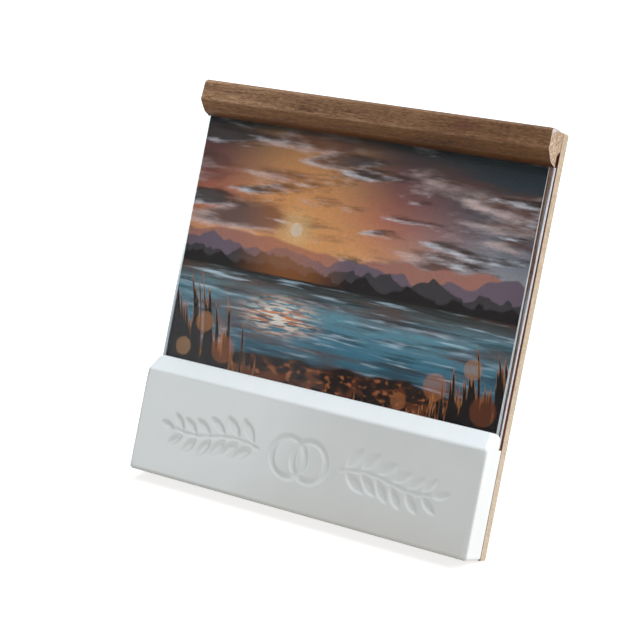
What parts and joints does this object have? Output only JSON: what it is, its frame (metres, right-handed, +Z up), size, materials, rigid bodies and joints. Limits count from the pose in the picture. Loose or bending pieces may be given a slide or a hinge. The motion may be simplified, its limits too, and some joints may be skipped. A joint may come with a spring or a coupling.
{
  "type": "picture frame",
  "caption": "Tabletop photo display with a wood-look rail and a glazed ceramic base on a fibreboard back, a slide-out clear sleeve for a landscape print and a folding strut.",
  "frame": {"origin": "centre of the object's footprint, on the table that it stands on", "axes": "+X to the object's right along the rail as seen from the front, +Y to the rear, +Z up; the board leans back 19.5 degrees"},
  "size_m": [0.1557, 0.0683, 0.152],
  "materials": {
    "fibreboard": "raw, sanded",
    "walnut_foil": "satin wood-grain foil",
    "board_foil": "satin wood-grain foil",
    "white_glaze": "glossy glaze",
    "foam_tape": "foam",
    "clear_sheet": "clear, glossy",
    "photo_paper": "satin photographic print",
    "white_card": "smooth card",
    "plated_steel": "zinc plated"
  },
  "bodies": {
    "frame": {"back_board": "fibreboard", "board_front_foil": "board_foil", "top_rail_core": "fibreboard", "top_rail_wrap": "walnut_foil", "rail_screw_left": "plated_steel", "rail_screw_right": "plated_steel", "ceramic_base": "white_glaze", "tape_pad_left": "foam_tape", "tape_pad_right": "foam_tape", "hinge_board_leaf": "plated_steel", "hinge_pin": "plated_steel", "hinge_screw_left": "plated_steel", "hinge_screw_right": "plated_steel"},
    "strut": {"hinge_strut_leaf": "plated_steel", "strut_rivet_upper": "plated_steel", "strut_rivet_lower": "plated_steel", "easel_strut": "fibreboard"},
    "sleeve": {"clear_sleeve": "clear_sheet"},
    "print": {"photo_print": "photo_paper", "backing_card": "white_card"}
  },
  "joints": [
    {"name": "strut_fold", "type": "hinge", "parent": "frame", "child": "strut", "pos_m": [0, 0.01487, 0.09356], "axis": [1, 0, 0], "range_deg": [-30, 0]},
    {"name": "sleeve_slide", "type": "slide", "parent": "frame", "child": "sleeve", "axis": [1, 0, 0], "range_m": [-0.157, 0.157]},
    {"name": "print_slide", "type": "slide", "parent": "sleeve", "child": "print", "axis": [1, 0, 0], "range_m": [-0.157, 0.157]}
  ]
}
